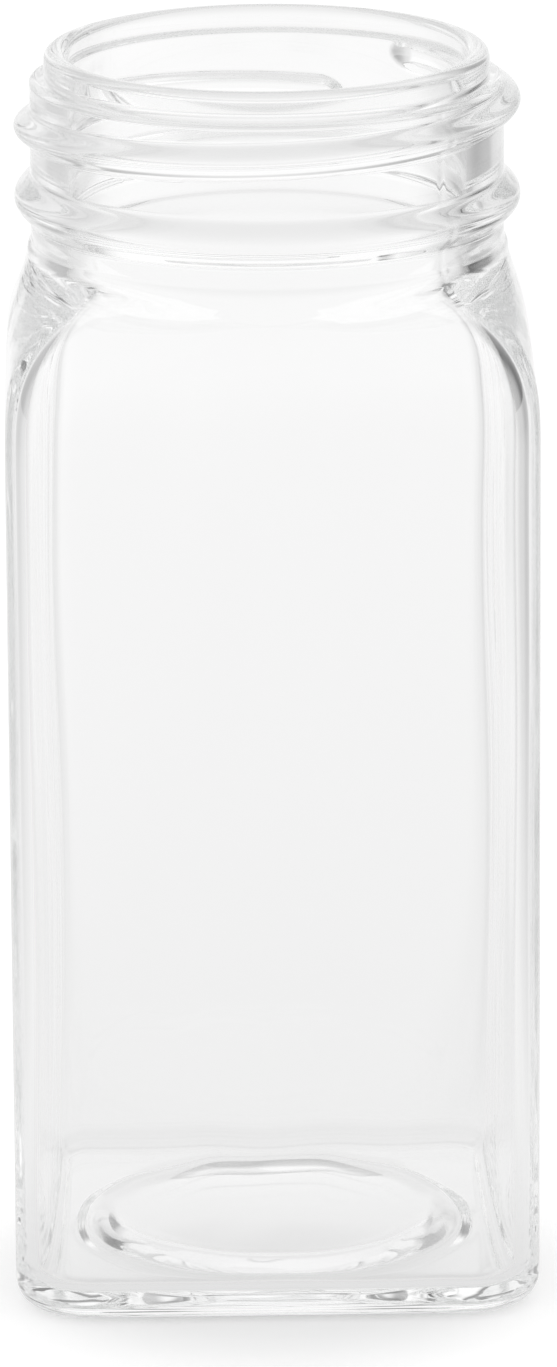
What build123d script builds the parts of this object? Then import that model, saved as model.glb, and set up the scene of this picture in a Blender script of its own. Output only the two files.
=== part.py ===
"""Square glass spice jar with a wide screw-thread neck, one piece of clear glass."""
import os
from math import cos, radians, sin

from build123d import *

# Body
body_width = 43.8
corner_radius = 6.2
heel_radius = 2.4
wall = 1.9
inner_corner_radius = 4.3
inner_heel_radius = 2.0

# Base, which stands on a flat ring round its push-up
base_thickness = 2.1
standing_ring = 1.9
push_up_step = 0.6
push_up_depth = 1.4
push_up_chamfer = 0.3
floor_crown = 1.0
floor_land = 0.6

# Heights, with the parts of the neck measured down from the rim
jar_height = 103.6
shoulder_height = 16.6
neck_height = 16.4
inner_shoulder_drop = 0.8

# Neck finish of the 43 mm size
neck_diameter = 39.2
neck_wall = 3.1
rim_band = 2.7
rim_step = 1.2
rim_chamfer = 0.6
step_chamfer = 0.4
foot_flare = 0.6
sliver = 0.04

# Transfer bead, the level ring under the thread
bead_drop = 11.95
bead_width = 4.2
bead_stand = 1.35

# Screw thread, right-handed, with ends that run out into the neck wall
thread_pitch = 4.23
thread_drop = 4.25
thread_width = 3.3
thread_stand = 1.35
thread_root = 0.5
thread_start_angle = 54.0
thread_end_angle = -288.0
run_out_angle = 45.0
section_step_angle = 14.25

# Rounded section of thread and ring, from flank to crest: shares of its stand and of half its width
stand_shares = (0.0, 0.82, 1.0)
across_shares = (1.0, 0.48, 0.2)
narrow_share = 0.35

# Low domes of the base, as shares of their span from edge to centre
dome_shares = (1.0, 0.6, 0.0)

# How the shoulder falls from square to round: heights up it, and the two powers of its curve
shoulder_rise_shares = (0.0, 0.32, 0.52, 0.67, 0.8, 0.9, 1.0)
shoulder_rise_power = 4.7
shoulder_fall_power = 1.9

# Places worked out from the sizes above
half_width = body_width / 2
neck_radius = neck_diameter / 2
rim_radius = neck_radius - rim_step
mouth_radius = neck_radius - neck_wall
neck_foot = jar_height - neck_height
shoulder_foot = neck_foot - shoulder_height
step_height = jar_height - rim_band
bead_height = jar_height - bead_drop
thread_height = jar_height - thread_drop
push_up_radius = half_width - heel_radius - standing_ring
push_up_dome = push_up_depth - push_up_step
inner_half_width = half_width - wall
crown_radius = inner_half_width - inner_heel_radius - floor_land
inner_foot = neck_foot - inner_shoulder_drop
shoulder_top_radius = neck_radius + foot_flare + sliver
inner_top_radius = mouth_radius + sliver


def dome_profile(span, foot, rise):
    """Points of a low dome from its edge to the centre: it rises as one less the square of the share."""
    return [(span * share, foot + rise * (1 - share**2)) for share in dome_shares]


def bead_profile(root, stand, half_across, middle):
    """Points of a rounded bead, lower flank to upper, that stands out from a root at a middle height."""
    steps = list(zip(stand_shares, across_shares))
    lower = [(root + stand * out, middle - half_across * across) for out, across in steps]
    upper = [(root + stand * out, middle + half_across * across) for out, across in reversed(steps)]
    return lower + upper


def square_share(rise_share):
    """Share of the square outline that is left at a share of the shoulder's height."""
    return (1 - rise_share**shoulder_rise_power) ** shoulder_fall_power


def shoulder_sections(top, half_square, corner, end_radius):
    """Rounded squares from the shoulder's foot to its top, turning into a circle of the end radius."""
    sections = []
    for rise_share in shoulder_rise_shares:
        share = square_share(rise_share)
        half = end_radius + (half_square - end_radius) * share
        round_corner = end_radius + (corner - end_radius) * share
        height = shoulder_foot + (top - shoulder_foot) * rise_share
        with BuildSketch(Plane.XY.offset(height)) as section:
            RectangleRounded(2 * half, 2 * half, min(round_corner, half - sliver))
        sections.append(section.sketch)
    return sections


def run_out_share(angle):
    """Share of the thread's full section at an angle, rising and falling along its two run-outs."""
    from_start = (thread_start_angle - angle) / run_out_angle
    from_end = (angle - thread_end_angle) / run_out_angle
    ramp = min(from_start, from_end, 1.0)
    return sin(radians(90 * ramp))


def thread_section(angle):
    """The bead's outline at an angle round the neck, standing on the wall of the neck."""
    share = run_out_share(angle)
    height = thread_height + thread_pitch * angle / 360
    outward = (cos(radians(angle)), sin(radians(angle)), 0)
    along = (sin(radians(angle)), -cos(radians(angle)), 0)
    root = neck_radius - thread_root
    stand = sliver + (thread_root + thread_stand - sliver) * share
    half_across = thread_width / 2 * (narrow_share + (1 - narrow_share) * share)
    with BuildSketch(Plane(origin=(0, 0, height), x_dir=outward, z_dir=along)) as section:
        with BuildLine():
            Polyline(bead_profile(root, stand, half_across, 0), close=True)
        make_face()
    return section.sketch


with BuildPart() as jar:
    # Square body with round corners
    with BuildSketch():
        RectangleRounded(body_width, body_width, corner_radius)
    extrude(amount=shoulder_foot)
    fillet(jar.edges().group_by(Axis.Z)[0], heel_radius)

    # Shoulder, from the square to the round foot of the neck
    loft(
        shoulder_sections(neck_foot, half_width, corner_radius, shoulder_top_radius),
        ruled=True,
    )

    # Neck: flared foot, wall, ring under the thread, step and rim
    neck_outline = [(0, neck_foot), (neck_radius + foot_flare, neck_foot)]
    neck_outline += [(neck_radius, neck_foot + foot_flare)]
    neck_outline += bead_profile(neck_radius, bead_stand, bead_width / 2, bead_height)
    neck_outline += [(neck_radius, step_height - step_chamfer)]
    neck_outline += [(neck_radius - step_chamfer, step_height), (rim_radius, step_height)]
    neck_outline += [(rim_radius, jar_height - rim_chamfer)]
    neck_outline += [(rim_radius - rim_chamfer, jar_height), (0, jar_height)]
    with BuildSketch(Plane.XZ):
        with BuildLine():
            Polyline(neck_outline, close=True)
        make_face()
    revolve(axis=Axis.Z)

    # Screw thread, lofted through its sections round the neck
    steps = round((thread_start_angle - thread_end_angle) / section_step_angle)
    step_angle = (thread_start_angle - thread_end_angle) / steps
    loft([thread_section(thread_start_angle - step_angle * i) for i in range(steps + 1)])

    # Inside: square cavity, inner shoulder and mouth
    with BuildSketch(Plane.XY.offset(base_thickness)):
        RectangleRounded(2 * inner_half_width, 2 * inner_half_width, inner_corner_radius)
    extrude(amount=shoulder_foot - base_thickness, mode=Mode.SUBTRACT)
    fillet(jar.edges().filter_by_position(Axis.Z, base_thickness, base_thickness), inner_heel_radius)
    loft(
        shoulder_sections(inner_foot, inner_half_width, inner_corner_radius, inner_top_radius),
        ruled=True,
        mode=Mode.SUBTRACT,
    )
    with BuildSketch(Plane.XY.offset(shoulder_foot)):
        Circle(mouth_radius)
    extrude(amount=jar_height - shoulder_foot, mode=Mode.SUBTRACT)
    rim_edges = jar.edges().filter_by(GeomType.CIRCLE).group_by(Axis.Z)[-1]
    chamfer(rim_edges.sort_by(SortBy.RADIUS)[0], rim_chamfer)

    # Crown of the floor inside, and the push-up under it with its ring to stand on
    with BuildSketch(Plane.XZ):
        with BuildLine():
            crown_outline = dome_profile(crown_radius, base_thickness, floor_crown)
            Polyline([(0, base_thickness)] + crown_outline, close=True)
        make_face()
    revolve(axis=Axis.Z)
    with BuildSketch(Plane.XZ):
        with BuildLine():
            push_up_outline = dome_profile(push_up_radius - push_up_step, push_up_step, push_up_dome)
            Polyline([(0, 0), (push_up_radius, 0)] + push_up_outline, close=True)
        make_face()
    revolve(axis=Axis.Z, mode=Mode.SUBTRACT)
    chamfer(jar.edges().filter_by(GeomType.CIRCLE).group_by(Axis.Z)[0], push_up_chamfer)

jar.part.label = "jar"
os.makedirs("parts", exist_ok=True)
export_step(jar.part, "parts/jar.step")
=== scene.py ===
"""Looks of a square glass spice jar: the moulded jar as one closed glass surface, on a pale floor."""
import math

import bpy
import numpy as np
from mathutils import Matrix, Vector


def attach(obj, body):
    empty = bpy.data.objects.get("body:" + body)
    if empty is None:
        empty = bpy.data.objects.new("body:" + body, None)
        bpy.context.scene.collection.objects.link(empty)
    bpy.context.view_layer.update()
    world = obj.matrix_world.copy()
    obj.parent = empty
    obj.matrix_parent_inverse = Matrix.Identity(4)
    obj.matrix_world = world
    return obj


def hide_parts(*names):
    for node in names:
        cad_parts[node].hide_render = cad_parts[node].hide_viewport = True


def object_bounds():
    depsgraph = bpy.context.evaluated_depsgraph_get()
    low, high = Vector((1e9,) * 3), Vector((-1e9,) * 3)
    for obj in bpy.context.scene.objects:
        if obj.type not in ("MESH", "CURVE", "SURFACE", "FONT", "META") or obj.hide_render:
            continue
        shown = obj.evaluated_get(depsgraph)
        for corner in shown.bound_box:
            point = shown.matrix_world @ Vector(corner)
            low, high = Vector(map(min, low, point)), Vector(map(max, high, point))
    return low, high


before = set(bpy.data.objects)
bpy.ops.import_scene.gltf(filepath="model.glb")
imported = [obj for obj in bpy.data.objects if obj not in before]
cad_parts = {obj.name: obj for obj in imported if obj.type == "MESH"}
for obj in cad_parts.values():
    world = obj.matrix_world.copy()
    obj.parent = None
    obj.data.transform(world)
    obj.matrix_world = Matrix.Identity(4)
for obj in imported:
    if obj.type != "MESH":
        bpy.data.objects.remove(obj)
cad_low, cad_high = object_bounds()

bl_info = {
    "name": "Square Glass Spice Jar",
    "version": (1, 0, 0),
    "blender": (4, 5, 0),
    "location": "View3D > Sidebar > Spice Jar",
    "description": "Builds an open square spice jar of moulded glass, with its floor, light and camera",
    "category": "Add Mesh",
}

MM = 0.001
JAR_NODE = "jar"

# How the shoulder falls from square to round: the two powers of its curve, as in the mould
SHOULDER_RISE_POWER = 4.7
SHOULDER_FALL_POWER = 1.9

# Rows of the surface in each stretch of its profile, and columns round it, which crowd at the corners
ROWS = {
    "dome": 10, "lip": 10, "ring": 3, "heel": 12, "wall": 24, "shoulder": 32, "neck": 70,
    "step": 9, "band": 2, "rim": 16, "mouth": 8, "inner_shoulder": 26, "inner_wall": 24,
    "inner_heel": 12, "floor": 16,
}
COLUMNS = 360
CORNER_CROWDING = 0.1

# Power by which the rows of the floor inside crowd at its edge
FLOOR_CROWDING = 1.5

# A swell is one less its share from the middle to the first power, all to the second
SWELL_SHARE_POWER = 2.2
SWELL_POWER = 1.5

# Lengths of the waves inside the glass, and how much longer those of the walls are upright
WALL_WAVE = 9 * MM
UPRIGHT_STRETCH = 4
SHOULDER_WAVE = 16 * MM
FLOOR_WAVE = 9 * MM

# Each wave is a mean of sines that turn by the golden angle. The shortest has this share of the wave's
# length, and each next one is longer by this share and starts this angle further on
WAVE_SINES = 6
GOLDEN_ANGLE = 2.39996
SHORTEST_SINE = 0.7
SINE_GROWTH = 0.13
SINE_START = 1.7

# Where the shoulder's waves are highest and how far they reach, as shares of its height, and the height
# over the floor at which the floor's waves end
SHOULDER_WAVE_MIDDLE = 0.45
SHOULDER_WAVE_REACH = 0.75
FLOOR_WAVE_END = 3 * MM

# Relief that the mould leaves on every face: soft waves, and a finer skin with a share of their height
MOULD_WAVE = 7 * MM
SKIN_GRAIN = 1.5 * MM
SKIN_SHARE = 0.03
RELIEF = 0.008 * MM

# Share of the width of the thread's section that is left at its ends
END_WIDTH = 0.4

# Share of the way in over the step under the rim, at which its round edge is up
STEP_LEVEL = 0.625

# Shares of the floor's radius, from its edge inwards: where its outline has turned from the square to a
# circle, where its crown starts to rise, and over how much it rises
ROUND_EDGE = 1 / 12
CROWN_EDGE = 0.06
CROWN_RISE = 0.25

# Light is mirrored many times inside the walls before it leaves them
LIGHT_BOUNCES = 200

# The floor lies a hair under the jar. Round a point a little in front of the jar, less white is mixed
# into the paper, as a painted shadow over its real one: deepest within the first reach and gone beyond
# the second, and the shares say how much white is mixed in at each
FLOOR_RINGS = 24
FLOOR_COLUMNS = 96
FLOOR_GAP = 0.03 * MM
PAINTED_SHADOW_AHEAD = 10 * MM
PAINTED_SHADOW_REACH = (13 * MM, 35 * MM)
PAINTED_SHADOW_WHITE = (0.4, 0.94)
WHITE_STRENGTH = 1.1

# How the floor's painted glow, which only the glass sees, goes over to the studio's tones: a power of
# the distance in metres, the stretch of that power where it changes, and the share of the studio's tone
# at the end of it
FADE_POWER = 0.35
FADE_STRETCH = (0.3, 0.72)
FAR_SHARE = 0.6

# Where the floor's painted shade, as the glass shows it, changes from front to back, and how flat a view
# of it shows its painted sheen
BACK_EDGE = (-30 * MM, 30 * MM)
PAINTED_SHEEN_EDGE = (0.25, 0.75)

# How bright the studio is all round, by the angle in degrees from the jar's right over its back: a white
# screen behind, dim gaps on both sides of it, the darker one on the right, and bright sides and front
STUDIO_TONES = (
    (-180, 1.0), (-150, 1.03), (-120, 0.93), (-90, 0.88), (-60, 0.97), (-30, 1.15), (-6, 1.2),
    (6, 1.12), (16, 0.88), (30, 0.45), (45, 0.12), (59, 0.24), (70, 0.78), (79, 1.03), (102, 1.05),
    (112, 0.8), (122, 0.52), (136, 0.5), (150, 0.68), (164, 0.9), (180, 1.0),
)
BRIGHTEST_TONE = 2.0

# Sines of the slope between which the ceiling takes over from the studio's ring of tones, and the
# stretch of a direction's share straight back in which the ceiling goes over to the screen's top edge
CEILING_EDGE = (0.38, 0.55)
SCREEN_TOP_EDGE = (0.5, 0.68)


def hex_colour(code):
    """Linear red, green and blue of an sRGB hex colour."""
    shares = [int(code[i:i + 2], 16) / 255 for i in (0, 2, 4)]
    return tuple(s / 12.92 if s <= 0.04045 else ((s + 0.055) / 1.055) ** 2.4 for s in shares)


def length(name, description, size):
    """A length that a user can change, in metres."""
    return bpy.props.FloatProperty(
        name=name, description=description, default=size, min=0.0, unit="LENGTH", precision=5
    )


class SpiceJarBody(bpy.types.PropertyGroup):
    """Sizes of the square body and its base."""

    width: length("Width", "Width of the square body over its flat faces", cad_high.x - cad_low.x)
    height: length("Height", "Height of the jar from the floor to its rim", cad_high.z - cad_low.z)
    corner_radius: length("Corner radius", "Radius of the body's upright corners", 6.2 * MM)
    heel_radius: length("Heel radius", "Radius from the walls to the base", 2.4 * MM)
    wall: length("Wall", "Thickness of the flat walls", 1.9 * MM)
    inner_corner_radius: length("Inner corner radius", "Radius of the cavity's corners", 4.3 * MM)
    inner_heel_radius: length("Inner heel radius", "Radius from cavity wall to floor", 2.0 * MM)
    base_thickness: length("Base thickness", "Thickness of the glass at the edge of the floor", 2.1 * MM)
    floor_crown: length("Floor crown", "How far the middle of the floor stands up inside", 1.1 * MM)
    push_up_radius: length("Push-up radius", "Radius of the hollow under the base", 17.3 * MM)
    push_up_step: length("Push-up step", "Height of the step round the hollow", 0.9 * MM)
    push_up_slope: length("Push-up slope", "Width of the step round the hollow", 1.6 * MM)
    push_up_depth: length("Push-up depth", "Height of the hollow at its middle", 1.4 * MM)


class SpiceJarNeck(bpy.types.PropertyGroup):
    """Sizes of the neck, its thread and the shoulder under it."""

    shoulder_height: length("Shoulder height", "Height of the shoulder", 16.6 * MM)
    inner_drop: length("Inner drop", "How far the inner shoulder ends below the outer", 0.8 * MM)
    neck_height: length("Neck height", "From the top of the shoulder to the rim", 16.4 * MM)
    neck_radius: length("Neck radius", "Radius of the neck's outer wall", 19.6 * MM)
    mouth_radius: length("Mouth radius", "Radius of the mouth", 16.5 * MM)
    rim_radius: length("Rim radius", "Radius of the rim above the step", 18.4 * MM)
    rim_band: length("Rim band", "Height of the rim above the step", 2.45 * MM)
    rim_round: length("Rim round", "Radius of the rim's two edges", 0.8 * MM)
    step_round: length("Step round", "Radius of the step's edge", 0.22 * MM)
    foot_cove: length("Foot cove", "Radius of the hollow at the foot of the neck", 0.3 * MM)
    bead_drop: length("Bead drop", "From the rim to the middle of the lower ring", 12.25 * MM)
    bead_width: length("Bead width", "Width of the lower ring at its root", 4.15 * MM)
    bead_stand: length("Bead stand", "How far ring and thread stand out from the neck", 1.35 * MM)
    thread_drop: length("Thread drop", "From the rim to the thread at the right of the jar", 4.25 * MM)
    thread_width: length("Thread width", "Width of the thread at its root", 2.95 * MM)
    thread_pitch: length("Thread pitch", "Rise of the thread in one turn", 4.23 * MM)
    thread_start: bpy.props.FloatProperty(
        name="Thread start", description="Angle of the thread's upper end, from the right of the jar",
        default=math.radians(54), subtype="ANGLE",
    )
    thread_end: bpy.props.FloatProperty(
        name="Thread end", description="Angle of the thread's lower end, from the right of the jar",
        default=math.radians(-292), subtype="ANGLE",
    )
    run_out: bpy.props.FloatProperty(
        name="Run-out", description="Angle over which each end of the thread fades into the neck",
        default=math.radians(7), subtype="ANGLE",
    )


class SpiceJarGlass(bpy.types.PropertyGroup):
    """Look of the glass."""

    tint: bpy.props.FloatVectorProperty(
        name="Tint", description="Colour that the glass gives to light at its surface",
        default=hex_colour("FEFEFE"), subtype="COLOR", min=0.0, max=1.0,
    )
    depth_tint: bpy.props.FloatVectorProperty(
        name="Depth tint", description="Colour that light takes on a long way through the glass",
        default=hex_colour("DCDEDD"), subtype="COLOR", min=0.0, max=1.0,
    )
    depth_density: bpy.props.FloatProperty(
        name="Depth density", description="How quickly the glass takes on its depth tint, per metre",
        default=1.5, min=0.0,
    )
    ior: bpy.props.FloatProperty(
        name="Index of refraction", description="How strongly the glass bends light",
        default=1.52, min=1.0,
    )
    ripple: length("Ripple", "Height of the long upright waves inside the walls", 0.16 * MM)
    shoulder_ripple: length("Shoulder ripple", "Height of the waves inside the shoulder", 0.07 * MM)
    floor_ripple: length("Floor ripple", "Height of the waves on the floor inside", 0.06 * MM)
    seam: length("Seam", "Height of the mould's two seams, on opposite corners", 0.015 * MM)
    seam_width: length("Seam width", "Half the width of a seam at its root", 0.45 * MM)


class SpiceJarStage(bpy.types.PropertyGroup):
    """Floor, light and camera."""

    floor_colour: bpy.props.FloatVectorProperty(
        name="Floor colour", description="Colour of the floor", default=hex_colour("F6F6F6"),
        subtype="COLOR", min=0.0, max=1.0,
    )
    # Tones of the floor's painted glow, which only the glass sees: painted shade in front of and close
    # behind the jar
    painted_front_shade: bpy.props.FloatProperty(
        name="Front tone", description="Brightness of the floor in front, as the glass shows it",
        default=0.76, min=0.0, max=2.0,
    )
    painted_near_shade: bpy.props.FloatProperty(
        name="Near tone", description="Brightness of the floor close behind, as the glass shows it",
        default=0.79, min=0.0, max=2.0,
    )
    # Painted sheen: the floor's glow is brighter where it is seen flatter, with no real reflection
    painted_sheen_tone: bpy.props.FloatProperty(
        name="Sheen tone", description="The same for a flat view of it, which is brighter by its sheen",
        default=0.895, min=0.0, max=2.0,
    )
    ceiling_tone: bpy.props.FloatProperty(
        name="Ceiling tone", description="Brightness of the studio overhead, as the glass shows it",
        default=1.0, min=0.0, max=2.0,
    )
    screen_top_tone: bpy.props.FloatProperty(
        name="Screen top tone", description="Brightness over the top of the screen behind the jar",
        default=0.3, min=0.0, max=2.0,
    )
    floor_radius: length("Floor radius", "Radius of the floor", 6.0)
    camera_distance: length("Camera distance", "From the camera to its target", 0.78373)
    camera_height: length("Target height", "Height of the point that the camera looks at", 0.049074)
    camera_aside: length("Target aside", "How far right of the jar's axis the camera looks", 0.000676)
    camera_elevation: bpy.props.FloatProperty(
        name="Camera elevation", description="Angle of the camera above the horizon",
        default=math.radians(15.851), subtype="ANGLE",
    )
    camera_turn: bpy.props.FloatProperty(
        name="Camera turn", description="Angle of the camera round the jar, from straight in front",
        default=math.radians(-1.222), subtype="ANGLE",
    )
    camera_roll: bpy.props.FloatProperty(
        name="Camera roll", description="Tilt of the picture",
        default=math.radians(-0.345), subtype="ANGLE",
    )
    focal_length: bpy.props.FloatProperty(
        name="Focal length", description="Focal length of the camera",
        default=245.82, unit="CAMERA",
    )


def add_node(tree, kind, values=None, links=None, **settings):
    """Adds a node, sets its properties and socket values, and links its inputs."""
    node = tree.nodes.new(kind)
    for name, value in settings.items():
        setattr(node, name, value)
    for socket, value in (values or {}).items():
        node.inputs[socket].default_value = value
    for socket, source in (links or {}).items():
        tree.links.new(source, node.inputs[socket])
    return node


def smooth(share):
    """Rises from 0 to 1 as the square of the sine of a quarter turn, level at both ends."""
    return np.sin(np.clip(share, 0, 1) * np.pi / 2) ** 2


def swell(place, half_width):
    """Rounded bead that is 1 at its middle and fades to 0 at half its width on both sides."""
    share = np.clip(np.abs(place) / half_width, 0, 1)
    return (1 - share**SWELL_SHARE_POWER) ** SWELL_POWER


def rounded_square(angle, half, corner):
    """Radius of a square with round corners, by angle from the axis.

    With t the angle from the middle of the nearest flat, it is half / cos(t) on the flat. On the
    corner's circle it is c cos(d) + sqrt(corner^2 - (c sin(d))^2), where d is the angle from the
    diagonal and c is how far the circle's centre lies from the axis."""
    t = np.abs((angle + np.pi / 4) % (np.pi / 2) - np.pi / 4)
    flat = half / np.cos(t)
    centre = (half - corner) * np.sqrt(2)
    aside = centre * np.sin(np.pi / 4 - t)
    bend = centre * np.cos(np.pi / 4 - t) + np.sqrt(np.maximum(corner**2 - aside**2, 0))
    return np.where(half * np.tan(t) <= half - corner, flat, bend)


def ripples(across, along, wavelength):
    """Soft uneven waves: the mean of some sines whose directions, lengths and starts differ."""
    total = 0
    for k in range(WAVE_SINES):
        turn = GOLDEN_ANGLE * k
        step = wavelength * (SHORTEST_SINE + SINE_GROWTH * k)
        way = across * np.cos(turn) + along * np.sin(turn)
        total = total + np.sin(2 * np.pi * way / step + SINE_START * k)
    return total / WAVE_SINES


def stretch(height, ring, half=0.0, corner=0.0, share=0.0):
    """Rows of the profile: height, radius of the round outline, half width and corner of the square
    outline, and the square's share."""
    return np.stack(np.broadcast_arrays(height, ring, half, corner, share), axis=1).astype(float)


def steps(name, first=0.0, last=1.0):
    """Even steps for the rows of a stretch, without its first end, which the stretch before it holds."""
    return np.linspace(first, last, ROWS[name] + 1)[1:]


def outer_profile(body, neck):
    """Rows from the middle of the base, out under the jar, up its wall, shoulder and neck, to the rim.

    The hollow under the base is a low dome, one less the square of the share outwards, with a step that
    falls as the square of a sine. Heel and rim are turned through quarter and half circles. On the
    shoulder the square's share is one less the rise to one power, all to another power. The lower ring
    is a swell on the neck."""
    half = body.width / 2
    corner = body.corner_radius
    heel = body.heel_radius
    neck_foot = body.height - neck.neck_height
    shoulder_foot = neck_foot - neck.shoulder_height
    step_height = body.height - neck.rim_band

    out = steps("dome")
    span = body.push_up_radius - body.push_up_slope
    rise = body.push_up_depth - body.push_up_step
    dome = stretch(body.push_up_step + rise * (1 - out**2), span * out)
    out = steps("lip")
    lip = stretch(body.push_up_step * (1 - smooth(out)), span + body.push_up_slope * out)
    out = steps("ring")
    ring = stretch(0.0, body.push_up_radius, half - heel, corner - heel, out)
    turn = steps("heel", 0.0, np.pi / 2)
    inset = heel * (1 - np.sin(turn))
    heel_rows = stretch(heel * (1 - np.cos(turn)), 0.0, half - inset, corner - inset, 1.0)
    wall = stretch(steps("wall", heel, shoulder_foot), 0.0, half, corner, 1.0)
    rise = steps("shoulder")
    square = (1 - rise**SHOULDER_RISE_POWER) ** SHOULDER_FALL_POWER
    shoulder_end = neck.neck_radius + neck.foot_cove
    shoulder = stretch(shoulder_foot + neck.shoulder_height * rise, shoulder_end, half, corner, square)
    height = steps("neck", neck_foot, step_height - neck.step_round)
    flare = neck.foot_cove * (1 - smooth((height - neck_foot) / (2 * neck.foot_cove)))
    bead = swell(height - (body.height - neck.bead_drop), neck.bead_width / 2)
    neck_rows = stretch(height, neck.neck_radius + flare + neck.bead_stand * bead)
    turn = steps("step", 0.0, np.pi)
    across = (neck.neck_radius - neck.rim_radius) / 2
    step_rows = stretch(
        step_height - neck.step_round + neck.step_round * smooth(turn / np.pi / STEP_LEVEL),
        neck.neck_radius - across * (1 - np.cos(turn)),
    )
    band = stretch(steps("band", step_height, body.height - neck.rim_round), neck.rim_radius)
    turn = steps("rim", 0.0, np.pi)
    land = neck.rim_radius - neck.mouth_radius - 2 * neck.rim_round
    rim = stretch(
        body.height - neck.rim_round * (1 - np.sin(turn)),
        neck.rim_radius - neck.rim_round * (1 - np.cos(turn)) - land * smooth(turn / np.pi),
    )
    return np.concatenate([dome, lip, ring, heel_rows, wall, shoulder, neck_rows, step_rows, band, rim])


def inner_profile(body, neck):
    """Rows from the rim down the mouth, the inner shoulder and the cavity's walls to the floor's middle.

    The shoulder falls as outside, and the heel is turned through a quarter circle. At the floor's edge
    the outline turns from the square to a circle, and the crown then rises as the square of a sine."""
    half = body.width / 2 - body.wall
    corner = body.inner_corner_radius
    heel = body.inner_heel_radius
    neck_foot = body.height - neck.neck_height
    shoulder_foot = neck_foot - neck.shoulder_height
    inner_foot = neck_foot - neck.inner_drop
    floor = body.base_thickness

    mouth = stretch(steps("mouth", body.height - neck.rim_round, inner_foot), neck.mouth_radius)
    rise = steps("inner_shoulder", 1.0, 0.0)
    square = (1 - rise**SHOULDER_RISE_POWER) ** SHOULDER_FALL_POWER
    height = shoulder_foot + (inner_foot - shoulder_foot) * rise
    shoulder = stretch(height, neck.mouth_radius, half, corner, square)
    wall = stretch(steps("inner_wall", shoulder_foot, floor + heel), 0.0, half, corner, 1.0)
    turn = steps("inner_heel", 0.0, np.pi / 2)
    inset = heel * (1 - np.cos(turn))
    heel_rows = stretch(floor + heel * (1 - np.sin(turn)), 0.0, half - inset, corner - inset, 1.0)
    inwards = steps("floor")[:-1] ** FLOOR_CROWDING
    crown_radius = half - heel
    crown = stretch(
        floor + body.floor_crown * smooth((inwards - CROWN_EDGE) / CROWN_RISE),
        crown_radius * (1 - inwards),
        crown_radius * (1 - inwards),
        (corner - heel) * (1 - inwards),
        1 - smooth(inwards / ROUND_EDGE),
    )
    return np.concatenate([mouth, shoulder, wall, heel_rows, crown])


def thread_stand(angle, height, body, neck):
    """Share of the thread's full stand at each angle and height.

    The thread's middle rises by the pitch in each turn. Its section is a swell, and both ends fade as
    the sine of a quarter turn over the run-out, where the section also narrows."""
    place = (angle - neck.thread_end) % (2 * np.pi) + neck.thread_end
    from_end = np.minimum(neck.thread_start - place, place - neck.thread_end)
    share = np.sin(np.clip(from_end / neck.run_out, 0, 1) * np.pi / 2)
    middle = body.height - neck.thread_drop + neck.thread_pitch * place / (2 * np.pi)
    half_width = neck.thread_width / 2 * (END_WIDTH + (1 - END_WIDTH) * share)
    return share * swell(height - middle, half_width)


def jar_surface(body, neck, glass):
    """Points of the jar's surface on a grid of rows along its profile and columns round its axis.

    The radius of a row is its round outline plus the square's share of the way to the rounded square.
    The thread and the mould's seams are added outside, and soft waves inside."""
    even = np.arange(COLUMNS) * 2 * np.pi / COLUMNS
    angle = (even + CORNER_CROWDING * np.sin(4 * even))[None, :]
    outer = outer_profile(body, neck)
    inner = inner_profile(body, neck)
    rows = np.concatenate([outer, inner])
    height, ring, half, corner, share = [rows[:, i:i + 1] for i in range(5)]
    radius = ring + (rounded_square(angle, np.maximum(half, MM), corner) - ring) * share
    outside = np.arange(len(rows))[:, None] < len(outer)

    # Thread and seams on the outside
    under_rim = outside & (height < body.height - neck.rim_band)
    on_neck = under_rim & (height > body.height - neck.neck_height)
    radius = radius + np.where(on_neck, neck.bead_stand * thread_stand(angle, height, body, neck), 0)
    from_seam = (angle + np.pi * 3 / 4) % np.pi - np.pi / 2
    seamed = under_rim & (height > body.heel_radius)
    radius = radius + np.where(seamed, glass.seam * swell(from_seam * radius, glass.seam_width), 0)

    x = radius * np.cos(angle)
    y = radius * np.sin(angle)
    z = np.broadcast_to(height, x.shape).copy()

    # Waves of the blown inside: long upright ones on the walls, short ones on the shoulder and the floor
    inside = ~outside
    shoulder_foot = body.height - neck.neck_height - neck.shoulder_height
    low = body.base_thickness + body.inner_heel_radius
    upright = smooth((height - body.base_thickness) / low)
    up_shoulder = (height - shoulder_foot) / neck.shoulder_height
    on_wall = inside * upright * (1 - smooth(up_shoulder))
    on_shoulder = inside * swell(up_shoulder - SHOULDER_WAVE_MIDDLE, SHOULDER_WAVE_REACH)
    around = angle * body.width / 2
    wave = glass.ripple * on_wall * ripples(around, height / UPRIGHT_STRETCH, WALL_WAVE)
    wave = wave + glass.shoulder_ripple * on_shoulder * ripples(around, height, SHOULDER_WAVE)
    x = x * (1 + wave / np.maximum(radius, MM))
    y = y * (1 + wave / np.maximum(radius, MM))
    lying = inside * (1 - smooth((height - body.base_thickness) / FLOOR_WAVE_END))
    z = z + glass.floor_ripple * lying * ripples(x, y, FLOOR_WAVE)
    return np.stack([x, y, z], axis=-1)


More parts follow.
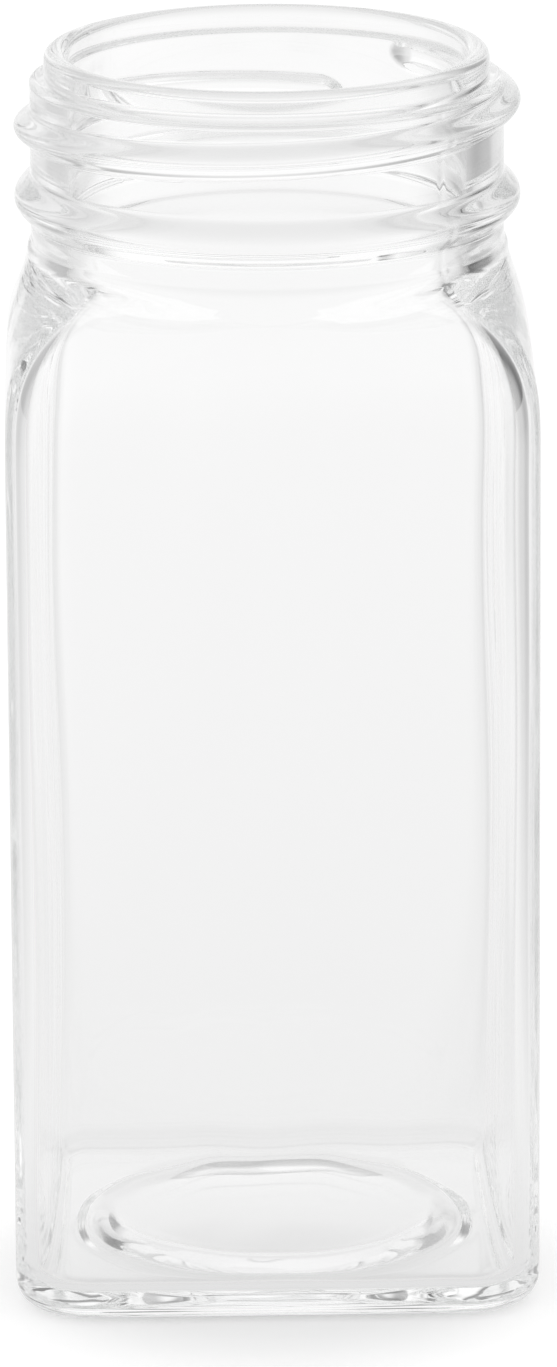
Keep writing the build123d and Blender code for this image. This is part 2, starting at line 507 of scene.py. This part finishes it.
def closed_mesh(name, points, first_pole, last_pole):
    """Mesh of a grid that closes round its columns, with a fan of triangles to a pole at each end."""
    rows, columns = points.shape[:2]
    index = np.arange(rows * columns).reshape(rows, columns)
    after = np.roll(index, -1, axis=1)
    quads = np.stack([index[:-1], after[:-1], after[1:], index[1:]], axis=-1).reshape(-1, 4)
    foot = np.full(columns, rows * columns)
    head = foot + 1
    fans = np.concatenate([
        np.stack([foot, after[0], index[0]], axis=-1),
        np.stack([head, index[-1], after[-1]], axis=-1),
    ])
    vertices = np.concatenate([points.reshape(-1, 3), [first_pole, last_pole]])
    corners = np.concatenate([quads.ravel(), fans.ravel()])
    starts = np.concatenate([
        np.arange(len(quads)) * 4,
        len(quads) * 4 + np.arange(len(fans)) * 3,
    ])
    mesh = bpy.data.meshes.new(name)
    mesh.vertices.add(len(vertices))
    mesh.vertices.foreach_set("co", vertices.ravel())
    mesh.loops.add(len(corners))
    mesh.loops.foreach_set("vertex_index", corners.astype(np.int32))
    mesh.polygons.add(len(starts))
    mesh.polygons.foreach_set("loop_start", starts.astype(np.int32))
    mesh.polygons.foreach_set("use_smooth", np.ones(len(starts), bool))
    mesh.update(calc_edges=True)
    if mesh.validate():
        raise RuntimeError(f"the mesh of {name} wasn't sound")
    return mesh


def flint_glass(glass):
    """Flint glass, press-and-blow moulded and fire-polished.

    Clear and almost colourless: it shows the white behind it, its thick edges go grey with a breath of
    green, and the mould leaves faint waves that bend what is seen through it."""
    material = bpy.data.materials.new("moulded_flint_glass")
    material.use_nodes = True
    tree = material.node_tree
    tree.nodes.clear()
    place = add_node(tree, "ShaderNodeTexCoord").outputs["Object"]
    waves = add_node(
        tree, "ShaderNodeTexNoise", {"Scale": 1 / MOULD_WAVE, "Detail": 1.0, "Roughness": 0.4},
        {"Vector": place},
    )
    skin = add_node(
        tree, "ShaderNodeTexNoise", {"Scale": 1 / SKIN_GRAIN, "Detail": 2.0}, {"Vector": place}
    )
    both = add_node(
        tree, "ShaderNodeMath", {1: SKIN_SHARE}, {0: skin.outputs["Fac"], 2: waves.outputs["Fac"]},
        operation="MULTIPLY_ADD",
    )
    bump = add_node(
        tree, "ShaderNodeBump", {"Strength": 0.5, "Distance": RELIEF}, {"Height": both.outputs[0]}
    )
    # The fire polish is a touch duller where the skin is coarsest
    polish = add_node(
        tree, "ShaderNodeMapRange", {"From Min": 0.5, "From Max": 0.8, "To Min": 0.0, "To Max": 0.015},
        {"Value": skin.outputs["Fac"]},
    )
    surface = add_node(
        tree, "ShaderNodeBsdfPrincipled",
        {"Base Color": (*glass.tint, 1), "IOR": glass.ior, "Transmission Weight": 1.0},
        {"Roughness": polish.outputs[0], "Normal": bump.outputs[0]},
    )
    depth = add_node(
        tree, "ShaderNodeVolumeAbsorption",
        {"Color": (*glass.depth_tint, 1), "Density": glass.depth_density},
    )
    add_node(
        tree, "ShaderNodeOutputMaterial",
        links={"Surface": surface.outputs[0], "Volume": depth.outputs[0]},
    )
    return material


class SPICEJAR_OT_glass_jar(bpy.types.Operator):
    """Builds the moulded glass jar as one closed surface"""

    bl_idname = "spice_jar.glass_jar"
    bl_label = "Glass jar"

    def execute(self, context):
        body = context.scene.spice_jar_body
        neck = context.scene.spice_jar_neck
        glass = context.scene.spice_jar_glass
        points = jar_surface(body, neck, glass)
        under = (0, 0, body.push_up_depth)
        over = (0, 0, body.base_thickness + body.floor_crown)
        mesh = closed_mesh("glass_jar", points, under, over)
        mesh.materials.append(flint_glass(glass))
        jar = bpy.data.objects.new("glass_jar", mesh)
        context.scene.collection.objects.link(jar)
        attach(jar, "root")
        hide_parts(JAR_NODE)
        return {"FINISHED"}


def ramp(tree, value, low, high, first, last):
    """A value that goes smoothly from first to last while another goes from low to high."""
    return add_node(
        tree, "ShaderNodeMapRange", {"From Min": low, "From Max": high, "To Min": first, "To Max": last},
        {"Value": value}, interpolation_type="SMOOTHSTEP",
    ).outputs["Result"]


def blend(tree, share, first, last):
    """Mixes two values; each may be a number or another node's output."""
    values = {name: item for name, item in (("A", first), ("B", last)) if isinstance(item, float)}
    links = {name: item for name, item in (("A", first), ("B", last)) if not isinstance(item, float)}
    links["Factor"] = share
    return add_node(tree, "ShaderNodeMix", values, links, data_type="FLOAT").outputs[0]


def glass_sight(tree, path):
    """1 for what is seen through or in the glass, 0 for a straight sight and for light on the floor."""
    glass = add_node(
        tree, "ShaderNodeMath",
        links={0: path.outputs["Is Transmission Ray"], 1: path.outputs["Is Glossy Ray"]},
        operation="MAXIMUM",
    ).outputs[0]
    sight = add_node(
        tree, "ShaderNodeMath", {1: 0.5}, {0: path.outputs["Diffuse Depth"]}, operation="LESS_THAN"
    ).outputs[0]
    return add_node(tree, "ShaderNodeMath", links={0: glass, 1: sight}, operation="MULTIPLY").outputs[0]


def studio_tone(tree, parts):
    """How bright the studio is in a level direction, read from the table of tones round the jar."""
    turn = add_node(
        tree, "ShaderNodeMath", links={0: parts["Y"], 1: parts["X"]}, operation="ARCTAN2"
    ).outputs[0]
    share = add_node(
        tree, "ShaderNodeMath", {1: 1 / (2 * math.pi), 2: 0.5}, {0: turn}, operation="MULTIPLY_ADD"
    ).outputs[0]
    node = add_node(tree, "ShaderNodeValToRGB", links={"Fac": share})
    strip = node.color_ramp
    strip.interpolation = "EASE"
    while len(strip.elements) < len(STUDIO_TONES):
        strip.elements.new(0.5)
    for element, (degrees, tone) in zip(strip.elements, STUDIO_TONES):
        level = tone / BRIGHTEST_TONE
        element.position = degrees / 360 + 0.5
        element.color = (level, level, level, 1)
    return add_node(
        tree, "ShaderNodeMath", {1: BRIGHTEST_TONE}, {0: node.outputs["Color"]}, operation="MULTIPLY"
    ).outputs[0]


def sweep_material(stage):
    """Matt white paper sweep.

    It keeps the jar's real shadow, and a light of its own brings it to white for a straight sight, with
    less white round a point in front of the jar as a painted shadow. For the glass it glows instead with
    painted tones: painted shade close to the jar, a painted sheen where it is seen flat, and more of the
    studio's tones farther off."""
    material = bpy.data.materials.new("matt_paper_sweep")
    material.use_nodes = True
    tree = material.node_tree
    tree.nodes.clear()
    path = add_node(tree, "ShaderNodeLightPath")
    place = add_node(tree, "ShaderNodeTexCoord").outputs["Object"]
    paper = add_node(tree, "ShaderNodeBsdfDiffuse", {"Color": (*stage.floor_colour, 1)})
    white = add_node(tree, "ShaderNodeEmission", {"Color": (1, 1, 1, 1), "Strength": WHITE_STRENGTH})
    # Painted shadow: less white is mixed in round a point a little in front of the jar, so the floor
    # looks shaded there
    ahead = add_node(
        tree, "ShaderNodeVectorMath", {1: (0, PAINTED_SHADOW_AHEAD, 0)}, {0: place}, operation="ADD"
    ).outputs["Vector"]
    reach = add_node(
        tree, "ShaderNodeVectorMath", links={0: ahead}, operation="LENGTH"
    ).outputs["Value"]
    clear = ramp(tree, reach, *PAINTED_SHADOW_REACH, *PAINTED_SHADOW_WHITE)
    straight = add_node(
        tree, "ShaderNodeMath", links={0: path.outputs["Is Camera Ray"], 1: clear}, operation="MULTIPLY"
    )
    paper_with_painted_shadow = add_node(
        tree, "ShaderNodeMixShader",
        links={0: straight.outputs[0], 1: paper.outputs[0], 2: white.outputs[0]},
    )
    distance = add_node(
        tree, "ShaderNodeVectorMath", links={0: place}, operation="LENGTH"
    ).outputs["Value"]
    power = add_node(
        tree, "ShaderNodeMath", {1: FADE_POWER}, {0: distance}, operation="POWER"
    ).outputs[0]
    away = add_node(
        tree, "ShaderNodeMapRange",
        {"From Min": FADE_STRETCH[0], "From Max": FADE_STRETCH[1], "To Min": 0.0, "To Max": FAR_SHARE},
        {"Value": power},
    ).outputs["Result"]
    parts = add_node(tree, "ShaderNodeSeparateXYZ", links={0: place}).outputs
    # Painted sheen: the floor's glow, as the glass sees it, brightens where the floor is seen flatter
    flat = add_node(tree, "ShaderNodeLayerWeight", {"Blend": 0.5}).outputs["Facing"]
    behind = ramp(tree, parts["Y"], *BACK_EDGE, 0.0, 1.0)
    back_shade_and_painted_sheen = ramp(tree, flat, *PAINTED_SHEEN_EDGE, stage.painted_near_shade, stage.painted_sheen_tone)
    near = blend(tree, behind, stage.painted_front_shade, back_shade_and_painted_sheen)
    tone = blend(tree, away, near, studio_tone(tree, parts))
    # The floor glows with these tones only for the glass, though it is no lamp: painted shade and
    # painted sheen close to the jar, the studio's tones farther off
    room = add_node(tree, "ShaderNodeEmission", {"Color": (1, 1, 1, 1)}, {"Strength": tone})
    surface = add_node(
        tree, "ShaderNodeMixShader",
        links={0: glass_sight(tree, path), 1: paper_with_painted_shadow.outputs[0], 2: room.outputs[0]},
    )
    add_node(tree, "ShaderNodeOutputMaterial", links={"Surface": surface.outputs[0]})
    return material


def white_world(context, stage):
    """White surroundings, and for the glass the studio: its ring of tones, with the ceiling over it."""
    world = bpy.data.worlds.new("studio")
    context.scene.world = world
    world.use_nodes = True
    tree = world.node_tree
    tree.nodes.clear()
    path = add_node(tree, "ShaderNodeLightPath")
    direction = add_node(tree, "ShaderNodeTexCoord").outputs["Generated"]
    parts = add_node(tree, "ShaderNodeSeparateXYZ", links={0: direction}).outputs
    ceiling = ramp(tree, parts["Y"], *SCREEN_TOP_EDGE, stage.ceiling_tone, stage.screen_top_tone)
    overhead = ramp(tree, parts["Z"], *CEILING_EDGE, 0.0, 1.0)
    room = blend(tree, overhead, studio_tone(tree, parts), ceiling)
    strength = blend(tree, glass_sight(tree, path), 1.0, room)
    background = add_node(
        tree, "ShaderNodeBackground", {"Color": (1, 1, 1, 1)}, {"Strength": strength}
    )
    add_node(tree, "ShaderNodeOutputWorld", links={"Surface": background.outputs[0]})


def floor_mesh(radius):
    """Flat disc on a grid of rings and columns: the radius of a ring is the square of its share."""
    ring = (np.arange(1, FLOOR_RINGS + 1) / FLOOR_RINGS) ** 2 * radius
    angle = np.arange(FLOOR_COLUMNS) * 2 * np.pi / FLOOR_COLUMNS
    x = ring[:, None] * np.cos(angle)
    y = ring[:, None] * np.sin(angle)
    count = x.size
    index = np.arange(count).reshape(x.shape)
    after = np.roll(index, -1, axis=1)
    quads = np.stack([index[:-1], index[1:], after[1:], after[:-1]], axis=-1).reshape(-1, 4)
    fan = np.stack([np.full(FLOOR_COLUMNS, count), index[0], after[0]], axis=-1)
    points = np.stack([x, y, np.full_like(x, -FLOOR_GAP)], axis=-1).reshape(-1, 3)
    mesh = bpy.data.meshes.new("floor")
    mesh.from_pydata([*points.tolist(), (0, 0, -FLOOR_GAP)], [], quads.tolist() + fan.tolist())
    return mesh


def photo_camera(context, stage):
    """Camera at the photograph's angle, turned about the jar's axis and rolled a little."""
    data = bpy.data.cameras.new("camera")
    data.lens = stage.focal_length
    data.sensor_width = 36
    data.clip_start = 0.01
    data.clip_end = 100
    camera = bpy.data.objects.new("camera", data)
    context.scene.collection.objects.link(camera)
    tilt = stage.camera_elevation
    back = Vector((0, -math.cos(tilt), math.sin(tilt)))
    place = Vector((stage.camera_aside, 0, stage.camera_height)) + back * stage.camera_distance
    facing = Matrix.Rotation(math.pi / 2 - tilt, 4, "X") @ Matrix.Rotation(stage.camera_roll, 4, "Z")
    camera.matrix_world = Matrix.Rotation(stage.camera_turn, 4, "Z") @ Matrix.Translation(place) @ facing
    context.scene.camera = camera


class SPICEJAR_OT_stage(bpy.types.Operator):
    """Builds the pale floor, the soft light and the camera"""

    bl_idname = "spice_jar.stage"
    bl_label = "Stage"

    def execute(self, context):
        stage = context.scene.spice_jar_stage
        mesh = floor_mesh(stage.floor_radius)
        mesh.materials.append(sweep_material(stage))
        floor = bpy.data.objects.new("floor", mesh)
        context.scene.collection.objects.link(floor)
        white_world(context, stage)
        photo_camera(context, stage)
        context.scene.view_settings.view_transform = "Standard"
        context.scene.cycles.max_bounces = LIGHT_BOUNCES
        context.scene.cycles.glossy_bounces = LIGHT_BOUNCES
        context.scene.cycles.transmission_bounces = LIGHT_BOUNCES
        return {"FINISHED"}


class SPICEJAR_PT_panel(bpy.types.Panel):
    """Lists the jar's pieces"""

    bl_label = "Spice Jar"
    bl_idname = "SPICEJAR_PT_panel"
    bl_space_type = "VIEW_3D"
    bl_region_type = "UI"
    bl_category = "Spice Jar"

    def draw(self, context):
        for operator in OPERATORS:
            self.layout.operator(operator.bl_idname)
        for group in GROUPS:
            settings = getattr(context.scene, group)
            box = self.layout.box()
            for name in settings.bl_rna.properties.keys():
                if name not in ("rna_type", "name"):
                    box.prop(settings, name)


GROUPS = {
    "spice_jar_body": SpiceJarBody,
    "spice_jar_neck": SpiceJarNeck,
    "spice_jar_glass": SpiceJarGlass,
    "spice_jar_stage": SpiceJarStage,
}
OPERATORS = (SPICEJAR_OT_glass_jar, SPICEJAR_OT_stage)
CLASSES = (*GROUPS.values(), *OPERATORS, SPICEJAR_PT_panel)


def register():
    """Registers the classes and puts the jar's settings on the scene."""
    for item in CLASSES:
        bpy.utils.register_class(item)
    for name, group in GROUPS.items():
        setattr(bpy.types.Scene, name, bpy.props.PointerProperty(type=group))


def unregister():
    """Takes the settings and the classes away again."""
    for name in GROUPS:
        delattr(bpy.types.Scene, name)
    for item in reversed(CLASSES):
        bpy.utils.unregister_class(item)


def main():
    """Builds the jar and its stage."""
    register()
    bpy.ops.spice_jar.glass_jar()
    bpy.ops.spice_jar.stage()


if __name__ == "__main__":
    main()
